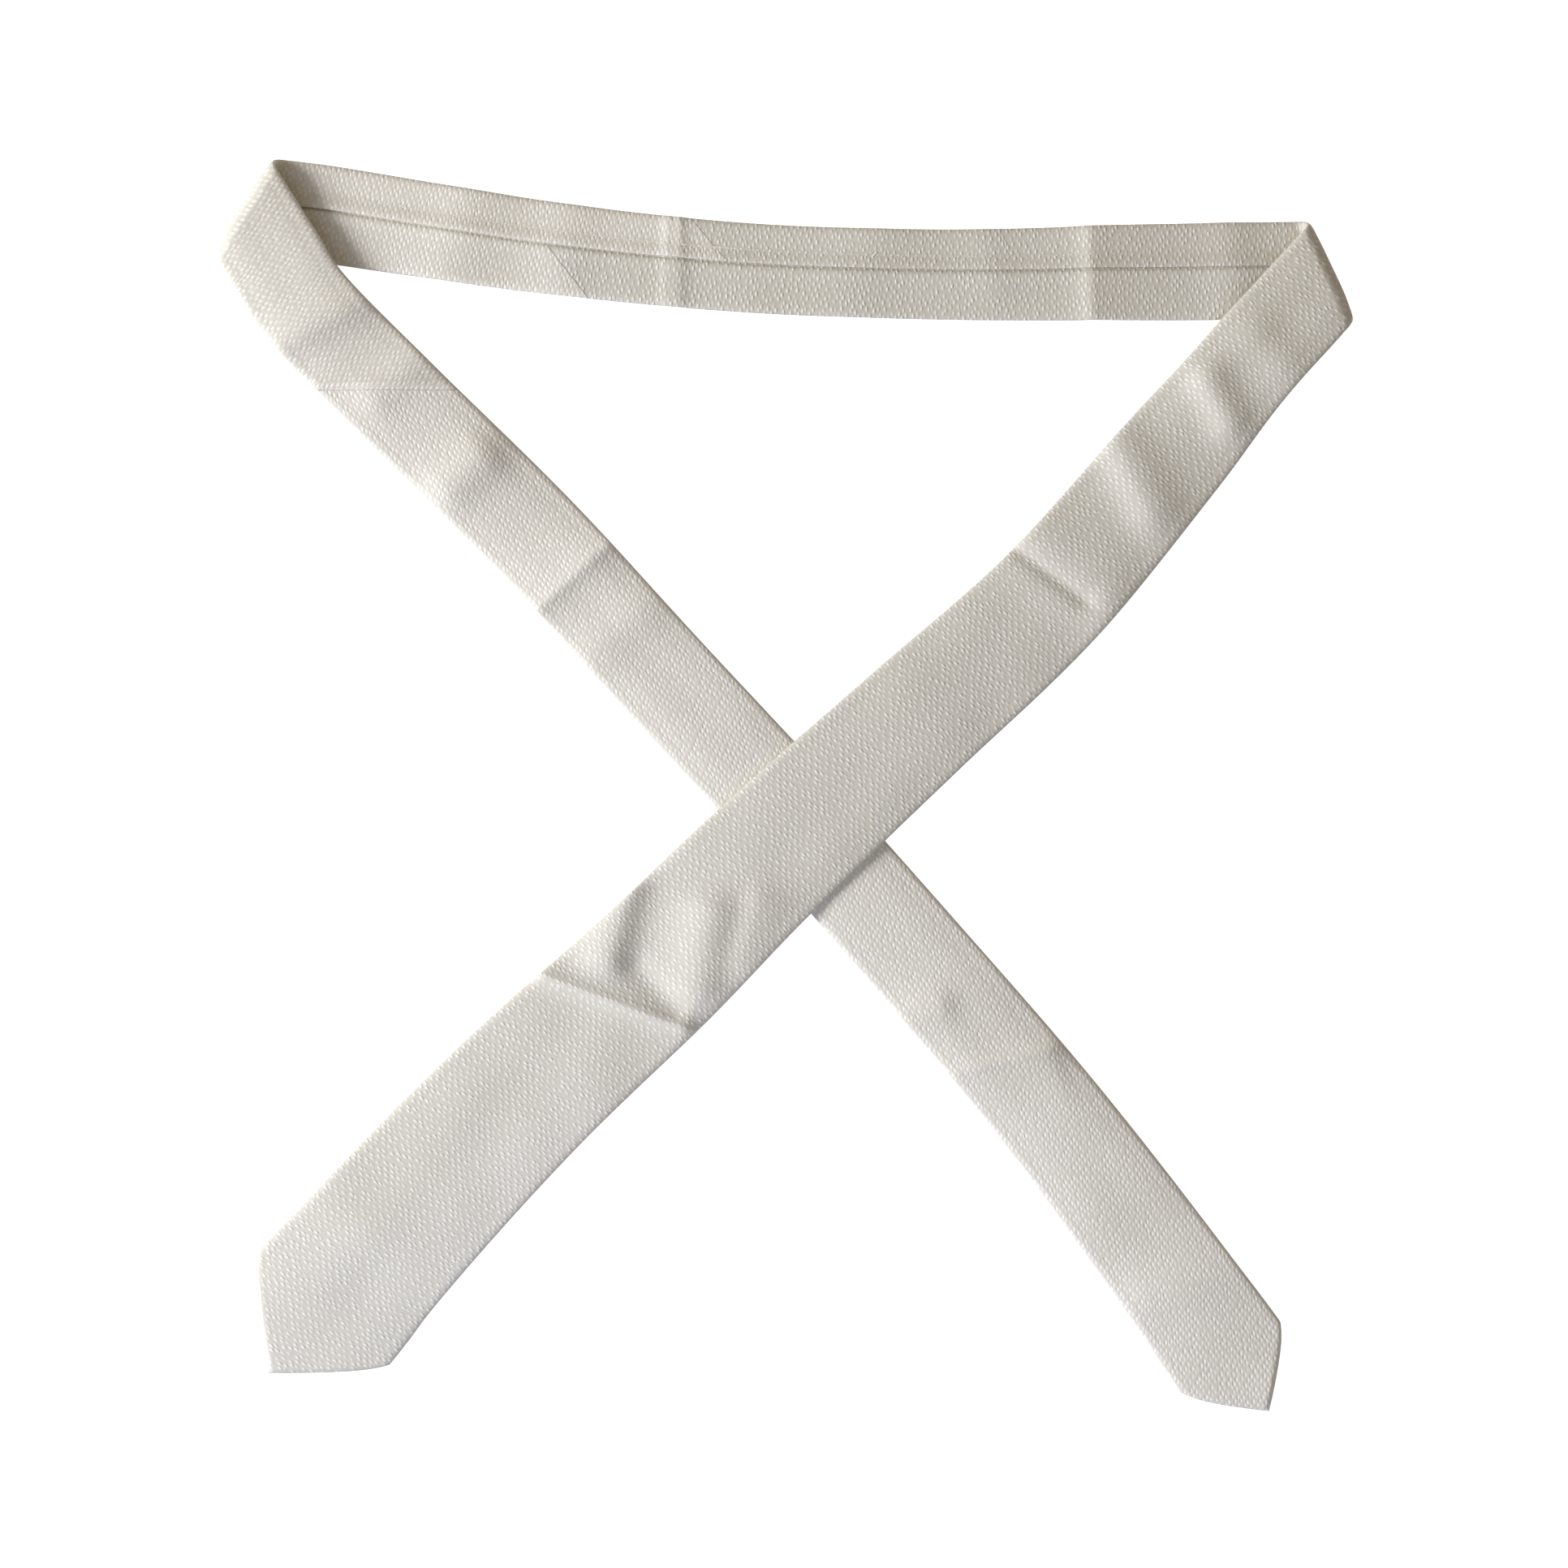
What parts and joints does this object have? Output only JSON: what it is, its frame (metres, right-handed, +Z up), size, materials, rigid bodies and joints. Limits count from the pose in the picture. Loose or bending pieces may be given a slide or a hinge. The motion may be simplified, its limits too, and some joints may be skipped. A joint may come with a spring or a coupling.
{
  "type": "necktie",
  "caption": "Slim lined necktie laid folded at two corners with its pointed legs crossed; the legs unfold and the points fold up.",
  "frame": {"origin": "middle of the laid necktie's box, on the surface it lies on", "axes": "+X to the right, +Y from the points towards the neckband, +Z up from the surface"},
  "size_m": [0.3976, 0.4384, 0.0105],
  "materials": {
    "woven_cloth": "matte woven silk",
    "wool_interlining": "brushed wool",
    "tipping_lining": "smooth lining",
    "sewing_thread": "matte thread"
  },
  "bodies": {
    "neck": {"neck_cloth": "woven_cloth", "blade_cloth_on_neck": "woven_cloth", "blade_join_thread": "sewing_thread", "neck_interlining": "wool_interlining", "neck_slip_stitch": "sewing_thread"},
    "blade": {"blade_cloth": "woven_cloth", "blade_interlining": "wool_interlining", "blade_slip_stitch": "sewing_thread", "keeper_loop": "woven_cloth", "keeper_tack_left": "sewing_thread", "keeper_tack_right": "sewing_thread"},
    "blade_point": {"blade_point_cloth": "woven_cloth", "blade_point_interlining": "wool_interlining", "blade_point_slip_stitch": "sewing_thread", "blade_tipping": "tipping_lining", "blade_bar_tack": "sewing_thread"},
    "tail": {"neck_cloth_on_tail": "woven_cloth", "tail_cloth": "woven_cloth", "tail_join_thread": "sewing_thread", "tail_interlining": "wool_interlining", "tail_slip_stitch": "sewing_thread"},
    "tail_point": {"tail_point_cloth": "woven_cloth", "tail_point_interlining": "wool_interlining", "tail_point_slip_stitch": "sewing_thread", "tail_tipping": "tipping_lining", "tail_bar_tack": "sewing_thread"}
  },
  "joints": [
    {"name": "blade_fold", "type": "hinge", "parent": "neck", "child": "blade", "pos_m": [0.19264, 0.18012, 0.00525], "axis": [-0.4067, 0.9135, 0], "range_deg": [0, 180]},
    {"name": "tail_fold", "type": "hinge", "parent": "neck", "child": "tail", "pos_m": [-0.19008, 0.20305, 0.00525], "axis": [-0.5284, -0.849, 0], "range_deg": [0, 180]},
    {"name": "blade_crease", "type": "hinge", "parent": "blade", "child": "blade_point", "pos_m": [-0.06072, -0.07944, 0.00345], "axis": [-0.6727, 0.7399, 0], "range_deg": [0, 150]},
    {"name": "tail_crease", "type": "hinge", "parent": "tail", "child": "tail_point", "pos_m": [0.07714, -0.09585, 0.0026], "axis": [-0.7662, -0.6426, 0], "range_deg": [0, 120]}
  ]
}
